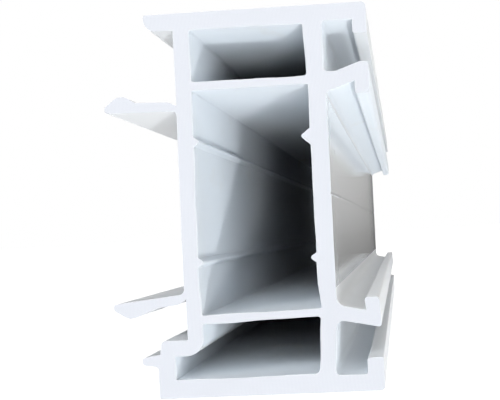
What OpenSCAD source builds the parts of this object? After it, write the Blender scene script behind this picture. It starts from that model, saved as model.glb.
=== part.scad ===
// Hollow-chamber extension profile for window frames, one extruded length.
// Section drawn in millimetres: x runs from the contact plane of the clip side
// towards the channel side, y is the height above the lower face.

/* [Stock] */
// Length of the piece along the extrusion
length = 450; // [100:10:6000]
// Depth between the lower and the upper visible face
depth = 70; // [60:0.5:90]
// Build-up width between the contact plane and the channel-side face
build_up = 40.8; // [30:0.2:60]

/* [Walls] */
// Thickness of the upper visible face wall over the chambers
upper_face_t = 3.2; // [2.5:0.1:4]
// Thickness of the lower visible face wall over the chamber
lower_face_t = 3.3; // [2.5:0.1:4]
// Thickness of the clip-side wall
clip_wall_t = 2.8; // [2:0.1:4]
// Thickness of the wall behind the channel
channel_wall_t = 3.1; // [2:0.1:4]
// How far the clip-side wall bows out above the root of the lower leg
wall_bow = 0.3; // [0:0.1:1]
// Thickness of the wall behind the upper edge groove, at its cross web
groove_wall_high_t = 3; // [2:0.1:4]
// Thickness of the wall behind the lower edge groove, at its cross web
groove_wall_low_t = 2.7; // [2:0.1:4]
// How much thicker the wall behind the upper groove gets towards the face
wall_gain_high = 0.4; // [0:0.1:1]
// How far the wall behind the lower groove leans towards the clip side
wall_lean_low = 0.6; // [0:0.1:1]
// Thickness of the two cross webs
web_t = 1.4; // [1:0.1:3]
// Rise of the lower cross web towards the channel side
web_low_rise = 0.5; // [0:0.1:1]

/* [Chambers] */
// Height of the upper chamber
upper_chamber_h = 9.6; // [5:0.1:16]
// Height of the lower chamber
lower_chamber_h = 10; // [7:0.1:16]
// Corner radius of the two web chambers
chamber_r = 0.6; // [0.2:0.1:2]
// Corner radius of the reinforcement chamber
core_r = 0.3; // [0.1:0.1:2]
// How far that chamber widens at its lower corner on the channel side
core_flare = 0.4; // [0:0.1:1]
// Height over which it widens
core_flare_h = 5; // [2:0.5:8]
// Radius of the lower chamber's corner beside the lower groove
lower_corner_r = 1.2; // [0.2:0.1:3]

/* [Reinforcement ribs] */
// Height of the lower pair of ribs above the lower face
rib_low_z = 24.4; // [18:0.1:30]
// Height of the upper pair of ribs above the lower face
rib_high_z = 46.4; // [38:0.1:52]
// How far the two clip-side ribs stand off their wall
rib_clip_h = 1.2; // [0.5:0.1:3]
// How far the lower channel-side rib stands off its wall
rib_low_h = 1.2; // [0.5:0.1:3]
// How far the upper channel-side rib stands off its wall
rib_high_h = 1.8; // [0.5:0.1:3]
// Run of a rib's flank along the wall over its height
rib_spread = 0.75; // [0.4:0.1:1.5]
// The same for the lower flank of the upper channel-side rib
rib_high_spread = 0.9; // [0.4:0.1:1.5]
// Radius of a rib's tip
rib_tip_r = 0.35; // [0.05:0.05:0.4]

/* [Clip side] */
// How far the clip-side wall is set back from the contact plane
recess = 5.6; // [2:0.1:12]
// Thickness of the upper contact lip
lip_t = 3; // [2:0.1:4]
// How far the lip stands back from the contact plane
lip_setback = 0.2; // [0:0.1:1]
// Radius under the tip of the upper contact lip
lip_r = 2.2; // [0.3:0.1:2.5]
// Height of the hollow foot
foot_h = 10.5; // [8:0.1:14]
// Thickness of the foot's outer wall
foot_t = 3.1; // [2:0.1:4]
// Thickness of the foot's upper wall
foot_top_t = 2.9; // [2:0.1:4]
// How far the foot stands back from the contact plane above its nub
foot_setback = 0.3; // [0:0.1:1]
// How much further back its outer face leans at its upper corner
foot_lean = 0.5; // [0:0.1:1]
// Outer radius of the foot's upper corner
foot_r = 0.7; // [0.3:0.1:3]
// Inner radius where the clip-side wall meets the foot
foot_bend_r = 3.2; // [0.5:0.1:4]
// Height of the locating nub's middle above the lower face
nub_z = 6.9; // [5:0.1:9]
// Thickness of the locating nub at its root
nub_t = 2.1; // [1:0.1:3]
// Thickness of the nub's tip
nub_tip_t = 1.2; // [0.8:0.1:2]
// Radius of the two corners of the nub's tip
nub_tip_r = 0.5; // [0.1:0.1:0.6]
// Fillet radius under the root of the nub
nub_root_r = 0.7; // [0.2:0.1:1.5]
// How far the nub stands past the contact plane
nub_l = 2.9; // [1:0.1:5]

/* [Clip legs] */
// Reach of both legs from the clip-side wall
leg_reach = 13.3; // [8:0.1:18]
// Thickness of a leg
leg_t = 1.7; // [1:0.1:3]
// Height of the upper leg's root above the lower face
leg_high_z = 53; // [46:0.1:54]
// Height of the lower leg's root above the lower face
leg_low_z = 18; // [16:0.1:24]
// Outward splay of the upper leg in degrees
leg_high_splay = 1.5; // [0:0.5:12]
// Outward splay of the lower leg in degrees
leg_low_splay = 6; // [0:0.5:12]
// How far a barb stands past its leg's outer face
barb_h = 1.2; // [0.5:0.1:2]
// Distance of a barb's crest from the leg's tip
barb_crest = 2.3; // [1:0.1:6]
// Width of a barb's crest
crest_w = 1.5; // [0.2:0.1:3]
// Length of the upper barb's catching slope
catch_high_l = 1.8; // [1:0.1:6]
// Length of the lower barb's catching slope
catch_low_l = 4; // [1:0.1:6]
// Radius of both corners of a barb's crest
crest_r = 1.8; // [0.3:0.1:2]
// Thickness of a leg's blunt tip
tip_t = 1.1; // [0.8:0.1:1.6]
// Radius of a leg's tip
tip_r = 0.45; // [0.2:0.05:0.6]
// Fillet radius on the inner side of a leg's root
leg_root_r = 0.9; // [0.2:0.1:2]
// Depth of the hinge relief on the outer side of a leg's root
relief_d = 0.7; // [0:0.1:0.8]
// Length of the hinge relief
relief_l = 1.5; // [1:0.1:4]
// Radius where the hinge relief runs out into the leg
relief_r = 2; // [0.5:0.5:6]

/* [Channel side] */
// Depth of the channel behind the two hooks
channel_d = 7.9; // [5:0.1:12]
// Depth of the two edge grooves
groove_d = 8.1; // [5:0.1:12]
// Height of the lower hook's tip above the lower face
hook_low_z = 16.8; // [12:0.1:22]
// Clear width between the two hook tips
hook_open = 36.8; // [30:0.1:42]
// Thickness of a hook's upturned end
hook_t = 2.6; // [1.5:0.1:4]
// Height of a hook's upturned end over its arm
hook_h = 2.3; // [1:0.1:4]
// How far the lower hook's upturned end leans back at its tip
hook_low_lean = 0.3; // [0:0.1:1]
// Thickness of the upper hook's arm
arm_high_t = 3; // [2:0.1:4]
// Thickness of the lower hook's arm
arm_low_t = 2.6; // [2:0.1:4]
// Outward slope of the upper hook's arm in degrees
arm_high_slope = 18; // [0:1:30]
// Outward slope of the lower hook's arm in degrees
arm_low_slope = 12; // [0:1:30]
// Height of the upper groove's floor over the upper hook's tip
groove_floor = 4.2; // [3:0.1:6]
// Height of the upper hook's outer face
hook_face_h = 5.6; // [4:0.1:7]
// Height of the upper edge lip, face wall included
edge_lip_high_h = 5.6; // [4:0.1:8]
// Height of the lower edge lip, face wall included
edge_lip_low_h = 6; // [4:0.1:8]
// Thickness of the upper edge lip
edge_lip_high_t = 2.5; // [1.5:0.1:4]
// Thickness of the lower edge lip
edge_lip_low_t = 2.9; // [1.5:0.1:4]
// Thickness of the visible faces over the edge grooves
edge_face_t = 3; // [2:0.1:4]
// Depth of the drill guide line along the channel's floor
guide_d = 0.15; // [0.1:0.05:0.6]
// Width of the drill guide line
guide_w = 0.7; // [0.3:0.1:1.5]
// Height of the drill guide line above the lower face
guide_z = 35.8; // [30:0.1:40]

/* [Rounding] */
// Radius of the two face corners on the channel side
face_corner_r = 0.8; // [0.2:0.1:2]
// Radius of the two face corners on the clip side
contact_corner_r = 0.4; // [0.2:0.1:1]
// Radius of hook and edge lip corners
hook_r = 0.5; // [0.2:0.1:1]
// Radius of the upper hook's outer corner at its tip
hook_nose_r = 0.9; // [0.2:0.1:1.2]
// Fillet radius where the upper hook's arm meets the channel's floor
arm_high_root_r = 1.3; // [0.3:0.1:2.5]
// Fillet radius where the lower hook's arm meets the channel's floor
arm_low_root_r = 2; // [0.3:0.1:2.5]
// Fillet radius in the corners of the edge grooves
groove_r = 0.8; // [0.2:0.1:2]
// Fillet radius under the root of the lower hook's arm
arm_foot_r = 1.3; // [0.2:0.1:2]

/* [Hidden] */
$fn = 48;
// Overlap that keeps joined shapes from only touching
lap = 0.05;
// Extra radius that lets a round cross its edges instead of only touching them
bite = 0.001;
// How deep the root of a leg is set into its wall
leg_seat = 1;
// Height at which the clip-side wall bows out furthest
bow_z = leg_low_z + leg_t + 2 * leg_root_r;
core_x0 = recess + clip_wall_t;
core_x1 = build_up - channel_d - channel_wall_t;
high_web_x1 = build_up - groove_d - groove_wall_high_t;
high_face_x1 = high_web_x1 - wall_gain_high;
low_web_x1 = build_up - groove_d - groove_wall_low_t;
low_face_x1 = low_web_x1 - wall_lean_low;
upper_chamber_z = depth - upper_face_t - upper_chamber_h;
lower_web_z = lower_face_t + lower_chamber_h;
core_z0 = lower_web_z + web_t;
core_z1 = upper_chamber_z - web_t;
upper_ceiling_z = depth - upper_face_t;
channel_x = build_up - channel_d;
groove_x = build_up - groove_d;
hook_x = build_up - hook_t;
hook_high_z = hook_low_z + hook_open;
arm_high_z = hook_high_z + hook_h;
arm_low_z = hook_low_z - hook_h;
arm_high_rise = tan(arm_high_slope);
arm_low_rise = tan(arm_low_slope);
groove_floor_z = hook_high_z + groove_floor;
hook_top_z = hook_high_z + hook_face_h;
lower_groove_root_z = arm_low_z - arm_low_t + (hook_x - groove_x) * arm_low_rise;
lower_groove_root = [groove_x, lower_groove_root_z];
lower_groove_floor = [groove_x - wall_lean_low, edge_face_t];
hook_foot_z = arm_low_z - arm_low_t - hook_t * arm_low_rise;
leg_tip_x = recess - leg_reach;
centre_x = (build_up + leg_tip_x) / 2;

// Unit vector at an angle in degrees
function ray(a) = [cos(a), sin(a)];

// Direction in degrees from one point to another
function bearing(p, q) = atan2(q[1] - p[1], q[0] - p[0]);

// Sliver between a corner's two edges and the round of radius r set into it:
// added it fills an inner corner, cut away it rounds an outer one
module corner(p, a1, a2, r) {
    half = (a2 - a1) / 2;
    run = r / tan(half);
    c = p + ray(a1 + half) * r / sin(half);
    difference() {
        polygon([
            p - ray(a1 + half) * lap / sin(half),
            p + ray(a1) * run + ray(a1 - 90) * lap,
            c,
            p + ray(a2) * run + ray(a2 + 90) * lap
        ]);
        translate(c)
            circle(r = r + bite);
    }
}

// Polygon, points anticlockwise, with each outer corner rounded to its own radius
module rounded(points, radii) {
    n = len(points);
    difference() {
        polygon(points);
        for (i = [0 : n - 1])
            if (radii[i] > 0) {
                a1 = bearing(points[i], points[(i + 1) % n]);
                a2 = bearing(points[i], points[(i + n - 1) % n]);
                corner(points[i], a1, a1 + (a2 - a1 + 720) % 360, radii[i]);
            }
    }
}

// Rectangle between two opposite corners
module box(x0, z0, x1, z1) {
    translate([x0, z0])
        square([x1 - x0, z1 - z0]);
}

// Blunt rib on the wall at x, pointing along dir, with its own lower flank
module rib(x, z, dir, h, low_spread) {
    translate([x, z])
        mirror([dir < 0 ? 1 : 0, 0])
            rounded([
                [-lap, -h * low_spread],
                [h, 0],
                [-lap, h * rib_spread]
            ], [0, rib_tip_r, 0]);
}

// Shift of the bowed clip-side wall at a height between the two legs
function bow(z) = -wall_bow * (leg_high_z - z) / (leg_high_z - bow_z);

// Closed outline of the hollow body and of the solid behind the channel
module body_outline() {
    foot_corner = [foot_setback + foot_lean, foot_h];
    difference() {
        union() {
            box(recess, 0, groove_x, depth);
            polygon([
                [recess + lap, leg_low_z],
                [recess + lap, leg_high_z],
                [recess, leg_high_z],
                [recess - wall_bow, bow_z],
                [recess - wall_bow, leg_low_z]
            ]);
            box(channel_x - channel_wall_t, arm_low_z, channel_x, arm_high_z);
            box(lip_setback, depth - lip_t, build_up, depth);
            box(0, 0, build_up, edge_face_t);
            box(0, 0, recess + lap, foot_h);
        }
        corner([lip_setback, depth], 270, 360, contact_corner_r);
        corner([lip_setback, depth - lip_t], 0, 90, lip_r);
        corner([0, 0], 0, 90, contact_corner_r);
        polygon([
            [-lap, nub_z],
            [foot_setback, nub_z],
            foot_corner,
            foot_corner + [0, lap],
            [-lap, foot_h + lap]
        ]);
        corner(foot_corner, 360 + bearing(foot_corner, [foot_setback, nub_z]), 360, foot_r);
        corner([build_up, depth], 180, 270, face_corner_r);
        corner([build_up, 0], 90, 180, face_corner_r);
        groove_lean();
    }
}

// Void of the upper chamber
module upper_chamber() {
    rounded([
        [core_x0, upper_chamber_z],
        [high_web_x1, upper_chamber_z],
        [high_face_x1, upper_ceiling_z],
        [core_x0, upper_ceiling_z]
    ], [chamber_r, chamber_r, chamber_r, chamber_r]);
}

// Void of the lower chamber with its extension into the foot
module lower_chamber() {
    rounded([
        [core_x0, lower_face_t],
        [low_face_x1, lower_face_t],
        [low_web_x1, lower_web_z + web_low_rise],
        [core_x0, lower_web_z]
    ], [0, lower_corner_r, chamber_r, chamber_r]);
    box(foot_t, lower_face_t, core_x0 + lap, foot_h - foot_top_t);
    corner([core_x0, foot_h - foot_top_t], 90, 180, foot_bend_r);
}

// Void of the middle chamber that takes a steel reinforcement
module core_chamber() {
    difference() {
        rounded([
            [core_x0, core_z0],
            [core_x1 + core_flare, core_z0 + web_low_rise],
            [core_x1, core_z0 + core_flare_h],
            [core_x1, core_z1],
            [core_x0, core_z1],
            [core_x0, leg_high_z],
            [core_x0 - wall_bow, bow_z]
        ], [core_r, core_r, 0, core_r, core_r, 0, 0]);
        rib(core_x0 + bow(rib_low_z), rib_low_z, 1, rib_clip_h, rib_spread);
        rib(core_x0 + bow(rib_high_z), rib_high_z, 1, rib_clip_h, rib_spread);
        rib(core_x1, rib_low_z, -1, rib_low_h, rib_spread);
        rib(core_x1, rib_high_z, -1, rib_high_h, rib_high_spread);
    }
}

// What the leaning wall of the lower edge groove leaves free of the upright one
module groove_lean() {
    polygon([
        lower_groove_floor,
        [groove_x + lap, edge_face_t],
        [groove_x + lap, lower_groove_root_z],
        lower_groove_root
    ]);
}

// Upper hook, whose arm is also the floor of the upper edge groove
module upper_hook() {
    rounded([
        [groove_x - lap, arm_high_z - (hook_x - groove_x + lap) * arm_high_rise],
        [hook_x, arm_high_z],
        [hook_x, hook_high_z],
        [build_up, hook_high_z],
        [build_up, hook_top_z],
        [hook_x + (hook_top_z - arm_high_z - arm_high_t) / arm_high_rise, hook_top_z],
        [hook_x + (groove_floor_z - arm_high_z - arm_high_t) / arm_high_rise, groove_floor_z],
        [groove_x - lap, groove_floor_z]
    ], [0, 0, hook_r, hook_nose_r, hook_r, 0, 0, 0]);
}

// Lower hook, whose arm is also the ceiling of the lower edge groove
module lower_hook() {
    rounded([
        [groove_x - lap, lower_groove_root_z + lap * arm_low_rise],
        [build_up, hook_foot_z],
        [build_up - hook_low_lean, hook_low_z],
        [hook_x - hook_low_lean, hook_low_z],
        [hook_x, arm_low_z],
        [groove_x - lap, arm_low_z + (hook_x - groove_x + lap) * arm_low_rise]
    ], [0, hook_r, hook_r, hook_r, 0, 0]);
}

// Lips that narrow the mouths of the two edge grooves
module edge_lips() {
    high_x = build_up - edge_lip_high_t;
    low_x = build_up - edge_lip_low_t;
    high_z = depth - edge_lip_high_h;
    rounded([
        [high_x, high_z],
        [build_up, high_z],
        [build_up, depth - face_corner_r - lap],
        [high_x, depth - face_corner_r - lap]
    ], [hook_r, 0, 0, 0]);
    rounded([
        [low_x, face_corner_r + lap],
        [build_up, face_corner_r + lap],
        [build_up, edge_lip_low_h],
        [low_x, edge_lip_low_h]
    ], [0, 0, 0, hook_r]);
}

// Fillets in the inner corners of the channel and of the edge grooves
module channel_fillets() {
    arm_high_root = [channel_x, arm_high_z - (hook_x - channel_x) * arm_high_rise];
    arm_low_root = [channel_x, arm_low_z + (hook_x - channel_x) * arm_low_rise];
    lean_angle = bearing(lower_groove_floor, lower_groove_root);
    corner(arm_high_root, 270, 360 + arm_high_slope, arm_high_root_r);
    corner(arm_low_root, -arm_low_slope, 90, arm_low_root_r);
    corner([groove_x, groove_floor_z], 0, 90, groove_r);
    corner([groove_x, depth - edge_face_t], 270, 360, groove_r);
    corner(lower_groove_floor, 0, lean_angle, groove_r);
    corner(lower_groove_root, 180 + lean_angle, 360 - arm_low_slope, arm_foot_r);
    corner([build_up - edge_lip_low_t, edge_face_t], 90, 180, hook_r);
}

// Shallow line along the middle of the channel's floor
module guide_line() {
    polygon([
        [channel_x + lap, guide_z - guide_w / 2],
        [channel_x, guide_z - guide_w / 2],
        [channel_x - guide_d, guide_z],
        [channel_x, guide_z + guide_w / 2],
        [channel_x + lap, guide_z + guide_w / 2]
    ]);
}

// Leg with its barb, drawn along +x with the barb on the upper side
module leg(catch_l) {
    face = leg_t / 2;
    crest_x = leg_reach - barb_crest;
    rounded([
        [-leg_seat, -face],
        [leg_reach, -face],
        [leg_reach, tip_t - face],
        [crest_x, face + barb_h],
        [crest_x - crest_w, face + barb_h],
        [crest_x - crest_w - catch_l, face],
        [relief_l, face],
        [0, face - relief_d],
        [-leg_seat, face - relief_d]
    ], [0, tip_r, tip_r, crest_r, crest_r, 0, relief_r, 0, 0]);
}

// Both legs set at their heights, with root fillets on the wall
module clip_legs() {
    translate([recess, leg_high_z])
        rotate(180 - leg_high_splay)
            mirror([0, 1])
                leg(catch_high_l);
    translate([recess, leg_low_z])
        rotate(180 + leg_low_splay)
            leg(catch_low_l);
    high = leg_t / 2 / cos(leg_high_splay);
    low = leg_t / 2 / cos(leg_low_splay) - wall_bow * tan(leg_low_splay);
    corner([recess, leg_high_z - high], 180 - leg_high_splay, 270, leg_root_r);
    corner([recess - wall_bow, leg_low_z + low], 90, 180 + leg_low_splay, leg_root_r);
}

// Tapered nub on the foot's contact face, with a fillet under its root
module nub() {
    tip = nub_tip_t / 2;
    rounded([
        [-nub_l, nub_z - tip],
        [0, nub_z - nub_t / 2],
        [foot_setback + lap, nub_z - nub_t / 2],
        [foot_setback + lap, nub_z + nub_t / 2],
        [0, nub_z + nub_t / 2],
        [-nub_l, nub_z + tip]
    ], [nub_tip_r, 0, 0, 0, 0, nub_tip_r]);
    root = [0, nub_z - nub_t / 2];
    corner(root, bearing(root, [-nub_l, nub_z - tip]), 270, nub_root_r);
}

// Whole section of the profile
module section() {
    difference() {
        union() {
            body_outline();
            upper_hook();
            lower_hook();
            edge_lips();
            channel_fillets();
            clip_legs();
            nub();
        }
        upper_chamber();
        core_chamber();
        lower_chamber();
        guide_line();
    }
}

// The extruded length, standing on its lower face
module extension_profile() {
    color("whitesmoke")
        translate([-centre_x, length / 2, 0])
            rotate([90, 0, 0])
                linear_extrude(height = length)
                    section();
}

extension_profile();
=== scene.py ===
import math

import bmesh
import bpy
from mathutils import Matrix, Vector, noise


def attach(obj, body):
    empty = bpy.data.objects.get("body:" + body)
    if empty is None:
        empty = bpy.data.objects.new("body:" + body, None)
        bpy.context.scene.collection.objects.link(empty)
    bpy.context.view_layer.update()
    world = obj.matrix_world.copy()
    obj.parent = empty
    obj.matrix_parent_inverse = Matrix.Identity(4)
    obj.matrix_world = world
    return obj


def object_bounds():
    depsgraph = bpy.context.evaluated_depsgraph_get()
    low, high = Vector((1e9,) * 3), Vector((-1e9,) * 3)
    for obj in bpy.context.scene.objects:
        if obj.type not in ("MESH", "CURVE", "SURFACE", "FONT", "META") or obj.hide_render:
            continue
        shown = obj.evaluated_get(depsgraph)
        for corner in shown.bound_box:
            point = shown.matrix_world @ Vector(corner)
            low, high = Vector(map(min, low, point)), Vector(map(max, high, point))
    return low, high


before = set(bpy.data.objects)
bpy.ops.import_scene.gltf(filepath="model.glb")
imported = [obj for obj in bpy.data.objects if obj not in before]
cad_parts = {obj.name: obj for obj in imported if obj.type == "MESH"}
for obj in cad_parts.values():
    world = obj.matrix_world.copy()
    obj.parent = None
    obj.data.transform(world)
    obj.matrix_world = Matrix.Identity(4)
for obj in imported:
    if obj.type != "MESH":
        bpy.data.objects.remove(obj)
CAD_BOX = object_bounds()
LOW, HIGH = CAD_BOX

# Camera fitted to the photograph's outline: its place in metres, lens and sensor in millimetres
CAMERA_AT = Vector((0.02845, -0.49704, 0.02946))
CAMERA_AHEAD = Vector((-0.09803, 0.99495, 0.02146))
CAMERA_UP = Vector((0.05224, -0.01639, 0.9985))
CAMERA_LENS = 108.72
SENSOR = 36.0
CLIP_START = 0.01
CLIP_END = 100

# The clip legs reach this far past the contact plane, in metres
LEG_REACH = 0.0077
CONTACT_X = LOW.x + LEG_REACH

# Boxes in the section, in metres: low x from the contact plane, low z, high x, high z.
# The underside of the upper hook arm has the same dull finish as the hollows, and the same painted
# light in its lighter, bluer white.
CHAMBERS = (0.0079, 0.0032, 0.0305, 0.0669)
FOOT_CHAMBER = (0.003, 0.0032, 0.0085, 0.0078)
LOWER_GROOVE = (0.032, 0.0029, 0.038, 0.0125)
UPPER_GROOVE = (0.032, 0.0585, 0.0384, 0.0671)
UNDER_UPPER_ARM = (0.0331, 0.0505, 0.0412, 0.0583)
HOLLOWS = (CHAMBERS, FOOT_CHAMBER, LOWER_GROOVE, UPPER_GROOVE, UNDER_UPPER_ARM)
# Flat floor of the channel, without the fillets at its two roots
CHANNEL_FLOOR = (0.0325, 0.0188, 0.0331, 0.0532)

# Colours of the room's white and of the plastic
WHITE = (1.0, 1.0, 1.0, 1.0)
PVC = (0.885, 0.905, 0.925, 1.0)
PVC_WARM = (0.905, 0.91, 0.915, 1.0)
# Painted light: a lighter, bluer white for the hollows and the underside of the upper arm
HOLLOW_PAINTED_LIGHT = (0.90, 0.935, 0.97, 1.0)
PVC_SOILED = (0.86, 0.86, 0.85, 1.0)
# Painted shade: the cut faces and the burr get a darker white than the skin, to hold down the
# strong light on them
SAWN_PAINTED_SHADE = (0.65, 0.655, 0.69, 1.0)
SAWN_PALE = (0.70, 0.705, 0.73, 1.0)

# Shares of the soiled colour in handling marks and of the pale one in saw arcs and grain
SOILED_SHARE = 0.5
ARC_PALE = 0.14
GRAIN_PALE = 0.4

# Roughness of the extruded skin, the channel's floor, the hollows and the cuts
OUTER_ROUGH = 0.45
CHANNEL_ROUGH = 0.08
INNER_ROUGH = 0.7
SAWN_ROUGH = 0.8
DIFFUSE_ROUGH = 0.5
GLOSS = 0.5

# Roughness added by clouds, handling marks and tearing, and taken off by saw arcs
CLOUD_ROUGH = 0.16
CHANNEL_CLOUD_ROUGH = 0.02
HANDLED_ROUGH = 0.04
CHANNEL_HANDLED_ROUGH = 0.01
TORN_ROUGH = 0.15
ARC_GLOSS = 0.12

# Depths of the relief in metres, and shares of it found in the hollows and in the channel
LINE_DEPTH = 0.000002
WAVE_DEPTH = 0.00001
ARC_DEPTH = 0.0000007
GRAIN_DEPTH = 0.000006
INNER_LINES = 1.6
CHANNEL_RELIEF = 0.1

# Noise: features a metre across the section and along the extrusion, detail, roughness
DRAWN_LINES = (700.0, 0.3, 4.0, 0.65)
WAVES = (60.0, 0.4, 2.0, 0.5)
CLOUDS = (35.0, 2.5, 3.0, 0.5)
GRAIN = (5200.0, 3000.0, 2.0, 0.5)
HANDLING = (90.0, 22.0, 4.0, 0.6)
ARC_FADING = (90.0, 1.0, 2.0, 0.5)
TORN_MOTTLE = (2600.0, 2600.0, 2.0, 0.5)

# Stretch of each noise that is drawn out into a full change
CLOUD_RANGE = (0.3, 0.7)
GRAIN_RANGE = (0.45, 0.75)
HANDLING_RANGE = (0.58, 0.74)
ARC_FADING_RANGE = (0.35, 0.65)

# Round saw blade: tooth marks' pitch, place of its axle, unevenness of the arcs
TOOTH_PITCH = 0.0007
BLADE_X = 0.19
BLADE_Z = 0.02
ARC_WOBBLE = 1.5
ARC_DETAIL = 2.0
ARC_DETAIL_SCALE = 0.35
FAINTEST_ARC = 0.25
# Radians that Blender's wave texture turns through in a unit at scale 1
WAVE_TURN = 20

# Cuts: least share of the normal along the extrusion, and the width that tearing roughens
CUT_FACING = 0.9
CUT_EDGE = 0.0006

# Burr: longest reach, share of it on the outer rim, spacing, depth of its foot, lift and flare
BURR_H = 0.00026
BURR_OUTER = 0.3
BURR_STEP = 0.0003
BURR_FOOT = 0.00005
BURR_LIFT = 0.000004
BURR_FLARE = 0.25
# Torn stretches and teeth of the burr: features a metre, and how they shape its reach
PATCHES = 160.0
PATCH_GAIN = 1.9
PATCH_CUT = 0.6
TEETH = 1500.0
TOOTH_SHARE = 0.4
# Decimals of a metre at which two points of the rim count as one
RIM_DECIMALS = 6

# Floor: half its width, its colour, its glow at the object and where that grows to white
FLOOR_HALF = 8.0
FLOOR = (0.4, 0.4, 0.4, 1.0)
FLOOR_GLOW = 0.85
FLOOR_FADE = (0.5, 1.5)

# Card behind the object, which glows only in reflections as painted reflection: its place and size,
# where its dark part ends, and its levels
CARD = (1.0, 0.985, 0.96, 1.0)
CARD_Y = 0.35
CARD_HALF = 3.0
CARD_BOTTOM = -0.5
CARD_TOP = 1.5
CARD_END = 0.02
CARD_DARK = 0.02
CARD_FADE = (-0.02, 0.1)
CARD_LOW = 0.1
CARD_HIGH = 0.54

AMBIENT = (1.0, 0.985, 0.965, 1.0)
AMBIENT_LEVEL = 0.08

# Lamps round the middle of the near cut: name, azimuth and elevation in degrees, level, size in
# metres, colour
LAMP_DISTANCE = 1.7
LAMP_TARGET = Vector((0.0, LOW.y, (LOW.z + HIGH.z) / 2))
LAMPS = (
    ("key", 15, -22, 0.36, 0.12, (0.93, 0.97, 1.0)),
    ("front_right", 22, -4, 0.15, 0.6, (0.94, 0.975, 1.0)),
    ("low_front", -8, -46, 0.055, 0.09, (0.92, 0.95, 1.0)),
    ("front_low", 0, -15, 0.21, 0.5, (0.95, 0.98, 1.0)),
    ("middle", 9, -8, 0.17, 0.15, (0.95, 0.98, 1.0)),
    ("front_left", -26, 15, 0.235, 0.5, (0.95, 0.98, 1.0)),
    ("front", 4, 12, 0.19, 0.7, (0.95, 0.98, 1.0)),
    ("under", 80, -76, 0.18, 0.8, (0.74, 0.88, 1.0)),
    ("top", 0, 88, 0.1, 1.2, (1.0, 1.0, 1.0)),
    ("right", 88, 25, 0.27, 1.2, (1.0, 0.99, 0.97)),
    ("left", -96, 4, 0.1, 1.2, (0.94, 0.96, 1.0)),
    ("back_left", -150, 45, 0.34, 1.2, (1.0, 1.0, 1.0)),
    ("back", 180, 35, 0.24, 0.6, (1.0, 1.0, 1.0)),
)


def add_object(name, data):
    obj = bpy.data.objects.new(name, data)
    bpy.context.collection.objects.link(obj)
    return obj


def add_camera():
    data = bpy.data.cameras.new("camera")
    data.sensor_width = SENSOR
    data.lens = CAMERA_LENS
    data.clip_start = CLIP_START
    data.clip_end = CLIP_END
    camera = add_object("camera", data)
    ahead = CAMERA_AHEAD.normalized()
    right = ahead.cross(CAMERA_UP).normalized()
    up = right.cross(ahead)
    turn = Matrix((right, up, -ahead)).transposed()
    camera.matrix_world = Matrix.Translation(CAMERA_AT) @ turn.to_4x4()
    bpy.context.scene.camera = camera


class Nodes:
    """Adds shader nodes to one node tree and links them as they come."""

    def __init__(self, tree):
        self.tree = tree
        tree.nodes.clear()

    def add(self, kind, inputs=(), **settings):
        node = self.tree.nodes.new(kind)
        for name, value in settings.items():
            setattr(node, name, value)
        for key, value in dict(inputs).items():
            socket = node.inputs[key]
            if isinstance(value, bpy.types.NodeSocket):
                self.tree.links.new(value, socket)
            else:
                socket.default_value = value
        return node

    def place(self):
        """Point on the surface in the object's own frame, which is the shared one."""
        return self.add("ShaderNodeTexCoord").outputs["Object"]

    def split(self, vector):
        return self.add("ShaderNodeSeparateXYZ", {0: vector}).outputs

    def math(self, operation, a, b=0.0, c=0.0):
        return self.add("ShaderNodeMath", {0: a, 1: b, 2: c}, operation=operation).outputs[0]

    def mix(self, factor, a, b):
        """Colour a where the factor is 0, b where it is 1."""
        return self.add("ShaderNodeMix", {0: factor, 6: a, 7: b}, data_type="RGBA").outputs[2]

    def blend(self, factor, a, b):
        """Number a where the factor is 0, b where it is 1."""
        return self.add("ShaderNodeMix", {0: factor, 2: a, 3: b}, data_type="FLOAT").outputs[0]

    def ramp(self, value, low, high, to_low=0.0, to_high=1.0):
        """Smooth step from to_low at low to to_high at high."""
        inputs = {0: value, 1: low, 2: high, 3: to_low, 4: to_high}
        return self.add("ShaderNodeMapRange", inputs, interpolation_type="SMOOTHSTEP").outputs[0]

    def pattern(self, place, across, along, detail, rough):
        """Noise with so many features a metre across the section and along the extrusion."""
        scaled = self.add("ShaderNodeMapping", {"Vector": place, "Scale": (across, along, across)})
        return self.add("ShaderNodeTexNoise", {"Vector": scaled.outputs[0], "Scale": 1.0,
                                               "Detail": detail, "Roughness": rough}).outputs["Fac"]

    def seen_directly(self):
        """1 for rays that look at the background itself or its mirror image."""
        path = self.add("ShaderNodeLightPath").outputs
        seen = self.math("MAXIMUM", path["Is Camera Ray"], path["Is Glossy Ray"])
        return self.math("MAXIMUM", seen, path["Is Transmission Ray"])

    def inside(self, x, z, box):
        """1 where the section point lies in the box, 0 elsewhere."""
        x0, z0, x1, z1 = box
        across = self.math("COMPARE", x, CONTACT_X + (x0 + x1) / 2, (x1 - x0) / 2)
        up = self.math("COMPARE", z, (z0 + z1) / 2, (z1 - z0) / 2)
        return self.math("MULTIPLY", across, up)

    def finish(self, shader):
        self.add("ShaderNodeOutputMaterial", {"Surface": shader.outputs[0]})


def new_material(name):
    material = bpy.data.materials.new(name)
    material.use_nodes = True
    return material, Nodes(material.node_tree)


def set_world():
    """Dim even light from the whole room, which looks white itself."""
    world = bpy.data.worlds.new("studio")
    world.use_nodes = True
    nodes = Nodes(world.node_tree)
    soft = nodes.add("ShaderNodeBackground", {"Color": AMBIENT, "Strength": AMBIENT_LEVEL})
    white = nodes.add("ShaderNodeBackground", {"Color": WHITE, "Strength": 1.0})
    both = nodes.add("ShaderNodeMixShader", {0: nodes.seen_directly(), 1: soft.outputs[0],
                                             2: white.outputs[0]})
    nodes.add("ShaderNodeOutputWorld", {"Surface": both.outputs[0]})
    bpy.context.scene.world = world


def add_sheet(name, corners):
    """Single face with a material of its own."""
    mesh = bpy.data.meshes.new(name)
    mesh.from_pydata(corners, [], [(0, 1, 2, 3)])
    material, nodes = new_material(name)
    mesh.materials.append(material)
    return add_object(name, mesh), nodes


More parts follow.
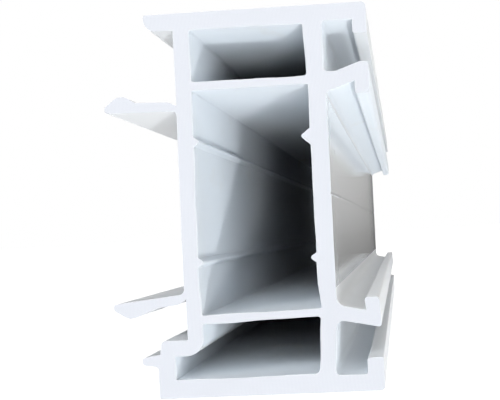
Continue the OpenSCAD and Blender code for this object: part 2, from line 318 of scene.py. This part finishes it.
def add_floor():
    """Pale floor that keeps the object's shadow and lets the lamps below it through."""
    half = FLOOR_HALF
    corners = [(-half, -half, 0), (half, -half, 0), (half, half, 0), (-half, half, 0)]
    floor, nodes = add_sheet("floor", corners)
    floor.visible_shadow = False
    plain = nodes.add("ShaderNodeBsdfDiffuse", {"Color": FLOOR})
    away = nodes.add("ShaderNodeVectorMath", {0: nodes.place()}, operation="LENGTH")
    level = nodes.ramp(away.outputs["Value"], *FLOOR_FADE, FLOOR_GLOW, 1.0)
    strength = nodes.math("MULTIPLY", nodes.seen_directly(), level)
    glow = nodes.add("ShaderNodeEmission", {"Color": WHITE, "Strength": strength})
    nodes.finish(nodes.add("ShaderNodeAddShader", {0: plain.outputs[0], 1: glow.outputs[0]}))


def add_card():
    """Glowing sheet behind that only reflections show, as painted reflection, darker behind the
    chambers and the legs.
    """
    corners = [(-CARD_HALF, CARD_Y, CARD_BOTTOM), (CARD_HALF, CARD_Y, CARD_BOTTOM),
               (CARD_HALF, CARD_Y, CARD_TOP), (-CARD_HALF, CARD_Y, CARD_TOP)]
    card, nodes = add_sheet("card", corners)
    card.visible_camera = False
    card.visible_diffuse = False
    card.visible_shadow = False
    across, _, height = nodes.split(nodes.place())
    lit = nodes.ramp(height, *CARD_FADE, CARD_LOW, CARD_HIGH)
    level = nodes.blend(nodes.math("GREATER_THAN", across, CARD_END), CARD_DARK, lit)
    nodes.finish(nodes.add("ShaderNodeEmission", {"Color": CARD, "Strength": level}))


def add_lamp(name, azimuth, elevation, level, size, colour):
    """Round lamp that lights a white face turned to it to the level, where 1 is plain white."""
    a = math.radians(azimuth)
    e = math.radians(elevation)
    towards = Vector((math.sin(a) * math.cos(e), -math.cos(a) * math.cos(e), math.sin(e)))
    data = bpy.data.lights.new(name, "AREA")
    data.shape = "DISK"
    data.size = size
    data.energy = level * (math.pi * LAMP_DISTANCE) ** 2
    data.color = colour
    lamp = add_object(name, data)
    lamp.location = LAMP_TARGET + towards * LAMP_DISTANCE
    away = (lamp.location - LAMP_TARGET).normalized()
    lamp.rotation_mode = "QUATERNION"
    lamp.rotation_quaternion = away.to_track_quat("Z", "Y")
    lamp.visible_camera = False


def rim_loops(mesh, end):
    """Closed loops of (x, z) points round the sawn face at one end, material always on the left
    as that face is looked at."""
    def key(index):
        return tuple(round(c, RIM_DECIMALS) for c in mesh.vertices[index].co)

    edges = set()
    for face in mesh.polygons:
        if face.normal.y * end > CUT_FACING:
            ring = [key(i) for i in face.vertices]
            edges.update(zip(ring, ring[1:] + ring[:1]))
    onward = {}
    for a, b in edges:
        if (b, a) not in edges:
            onward.setdefault(a, []).append(b)
    loops = []
    while onward:
        point = min(onward)
        loop = []
        while point in onward:
            loop.append((point[0], point[2]))
            following = onward[point].pop()
            if not onward[point]:
                del onward[point]
            point = following
        loops.append(loop)
    return loops


def finely(loop):
    """The loop's points with others between them, a burr's step apart at most."""
    fine = []
    for (x0, z0), (x1, z1) in zip(loop, loop[1:] + loop[:1]):
        steps = max(1, math.ceil(math.hypot(x1 - x0, z1 - z0) / BURR_STEP))
        fine += [Vector((x0 + (x1 - x0) * k / steps, z0 + (z1 - z0) * k / steps))
                 for k in range(steps)]
    return fine


def unevenness(at, features):
    """Number from 0 to 1 that wanders with the place."""
    return noise.noise(at * features) * 0.5 + 0.5


def torn_height(at, reach):
    """Height of the burr at one place: torn stretches with single teeth in them."""
    stretch = max(0.0, PATCH_GAIN * unevenness(at, PATCHES) - PATCH_CUT)
    return reach * stretch * (1.0 - TOOTH_SHARE + TOOTH_SHARE * unevenness(at, TEETH))


def burr(name, mesh, end):
    """Thin ragged fringe of torn plastic left by the saw along every edge of one cut."""
    points, faces = [], []
    cut = HIGH.y if end > 0 else LOW.y
    for loop in rim_loops(mesh, end):
        outline = max(z for _, z in loop) > HIGH.z - BURR_FOOT
        reach = BURR_H * (BURR_OUTER if outline else 1.0)
        fine = finely(loop)
        start, count = len(points), len(fine)
        for k, p in enumerate(fine):
            ahead = (fine[(k + 1) % count] - fine[k - 1]).normalized()
            away = Vector((ahead.y, -ahead.x)) * -end
            h = torn_height(Vector((p.x, end, p.y)), reach)
            foot, tip = p - away * BURR_FOOT, p + away * h
            tip.y = max(tip.y, LOW.z)
            # Foot on the cut, torn tip past the rim, root inside the plastic
            points += [(foot.x, cut + end * BURR_LIFT, foot.y),
                       (tip.x, cut + end * BURR_FLARE * h, tip.y),
                       (foot.x, cut - end * (h + BURR_FOOT), foot.y)]
        for k in range(count):
            here, there = start + 3 * k, start + 3 * ((k + 1) % count)
            for a, b in ((0, 1), (1, 2), (2, 0)):
                faces.append((here + a, here + b, there + b, there + a))
    fringe = bpy.data.meshes.new(name)
    fringe.from_pydata(points, [], faces)
    shell = bmesh.new()
    shell.from_mesh(fringe)
    bmesh.ops.recalc_face_normals(shell, faces=shell.faces)
    shell.to_mesh(fringe)
    shell.free()
    piece = add_object(name, fringe)
    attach(piece, "root")
    return piece


def saw_arcs(nodes, place):
    """Arcs left by a round blade whose axle stood beside the profile."""
    moved = nodes.add("ShaderNodeMapping", {"Vector": place, "Location": (-BLADE_X, 0.0, -BLADE_Z),
                                            "Scale": (1.0, 0.0, 1.0)})
    rings = nodes.add("ShaderNodeTexWave", {"Vector": moved.outputs[0],
                                            "Scale": math.tau / WAVE_TURN / TOOTH_PITCH,
                                            "Distortion": ARC_WOBBLE, "Detail": ARC_DETAIL,
                                            "Detail Scale": ARC_DETAIL_SCALE},
                      wave_type="RINGS", rings_direction="SPHERICAL")
    fading = nodes.pattern(place, *ARC_FADING)
    strength = nodes.ramp(fading, *ARC_FADING_RANGE, FAINTEST_ARC, 1.0)
    return nodes.math("MULTIPLY", rings.outputs["Fac"], strength)


def roughness(nodes, sawn, hollow, channel, torn, cloudy, handled, arcs):
    """Soft sheen outside, duller hollows, a mirror-like channel floor and matt cuts."""
    outer = nodes.blend(channel, OUTER_ROUGH, CHANNEL_ROUGH)
    skin = nodes.blend(hollow, outer, INNER_ROUGH)
    skin = nodes.math("MULTIPLY_ADD", nodes.math("SUBTRACT", cloudy, 0.5),
                      nodes.blend(channel, CLOUD_ROUGH, CHANNEL_CLOUD_ROUGH), skin)
    skin = nodes.math("MULTIPLY_ADD", handled,
                      nodes.blend(channel, HANDLED_ROUGH, CHANNEL_HANDLED_ROUGH), skin)
    skin = nodes.math("MULTIPLY_ADD", torn, TORN_ROUGH, skin)
    face = nodes.math("MULTIPLY_ADD", arcs, -ARC_GLOSS, SAWN_ROUGH)
    return nodes.blend(sawn, skin, face)


def colouring(nodes, sawn, hollow, cloudy, handled, grain, arcs):
    """White that wanders a little; a lighter, bluer white in the hollows and under the upper arm as
    painted light; cuts darker than the skin as painted shade, with pale grain and arcs.
    """
    tone = nodes.mix(nodes.ramp(cloudy, *CLOUD_RANGE), PVC, PVC_WARM)
    # Painted light: the hollows and the underside of the upper arm turn lighter and bluer
    tone = nodes.mix(hollow, tone, HOLLOW_PAINTED_LIGHT)
    tone = nodes.mix(nodes.math("MULTIPLY", handled, SOILED_SHARE), tone, PVC_SOILED)
    # Painted shade: the cut faces are darker than the skin
    face = nodes.mix(nodes.math("MULTIPLY", arcs, ARC_PALE), SAWN_PAINTED_SHADE, SAWN_PALE)
    pale = nodes.math("MULTIPLY", nodes.ramp(grain, *GRAIN_RANGE), GRAIN_PALE)
    face = nodes.mix(pale, face, SAWN_PALE)
    return nodes.mix(sawn, tone, face)


def relief(nodes, place, sawn, hollow, channel, grain, arcs):
    """Height in metres: lines and waves drawn along the skin, saw marks on the cuts."""
    drawn = nodes.pattern(place, *DRAWN_LINES)
    wavy = nodes.pattern(place, *WAVES)
    depth = nodes.blend(hollow, LINE_DEPTH, INNER_LINES * LINE_DEPTH)
    lines = nodes.math("MULTIPLY_ADD", drawn, depth, nodes.math("MULTIPLY", wavy, WAVE_DEPTH))
    lines = nodes.math("MULTIPLY", lines, nodes.blend(channel, 1.0, CHANNEL_RELIEF))
    marks = nodes.math("MULTIPLY_ADD", arcs, ARC_DEPTH, nodes.math("MULTIPLY", grain, GRAIN_DEPTH))
    return nodes.blend(sawn, lines, marks)


def pvc():
    """Extruded white plastic, sawn at both ends."""
    material, nodes = new_material("pvc")
    place = nodes.place()
    x, y, z = nodes.split(place)
    along = nodes.split(nodes.add("ShaderNodeNewGeometry").outputs["True Normal"])[1]
    sawn = nodes.math("GREATER_THAN", nodes.math("ABSOLUTE", along), CUT_FACING)
    hollow = 0.0
    for box in HOLLOWS:
        hollow = nodes.math("MAXIMUM", hollow, nodes.inside(x, z, box))
    channel = nodes.inside(x, z, CHANNEL_FLOOR)
    to_cut = nodes.math("SUBTRACT", HIGH.y, nodes.math("ABSOLUTE", y))
    torn = nodes.ramp(to_cut, 0.0, CUT_EDGE, 1.0, 0.0)
    cloudy = nodes.pattern(place, *CLOUDS)
    grain = nodes.pattern(place, *GRAIN)
    handled = nodes.ramp(nodes.pattern(place, *HANDLING), *HANDLING_RANGE)
    arcs = saw_arcs(nodes, place)

    rough = roughness(nodes, sawn, hollow, channel, torn, cloudy, handled, arcs)
    colour = colouring(nodes, sawn, hollow, cloudy, handled, grain, arcs)
    height = relief(nodes, place, sawn, hollow, channel, grain, arcs)
    bump = nodes.add("ShaderNodeBump", {"Strength": 1.0, "Distance": 1.0, "Height": height})
    nodes.finish(nodes.add("ShaderNodeBsdfPrincipled", {"Base Color": colour, "Roughness": rough,
                                                        "Specular IOR Level": GLOSS,
                                                        "Diffuse Roughness": DIFFUSE_ROUGH,
                                                        "Normal": bump.outputs[0]}))
    return material


def torn_pvc():
    """Torn plastic of the burr, mottled between the cut faces' darkened whites, which are painted
    shade.
    """
    material, nodes = new_material("torn_pvc")
    colour = nodes.mix(nodes.pattern(nodes.place(), *TORN_MOTTLE), SAWN_PAINTED_SHADE, SAWN_PALE)
    nodes.finish(nodes.add("ShaderNodeBsdfPrincipled", {"Base Color": colour,
                                                        "Roughness": SAWN_ROUGH,
                                                        "Specular IOR Level": GLOSS}))
    return material


add_camera()
set_world()
add_floor()
add_card()
for lamp in LAMPS:
    add_lamp(*lamp)

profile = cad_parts["extension_profile"]
profile.data.materials.clear()
profile.data.materials.append(pvc())
torn_plastic = torn_pvc()
for name, end in (("near_burr", -1), ("far_burr", 1)):
    burr(name, profile.data, end).data.materials.append(torn_plastic)

bpy.context.scene.view_settings.view_transform = "Standard"
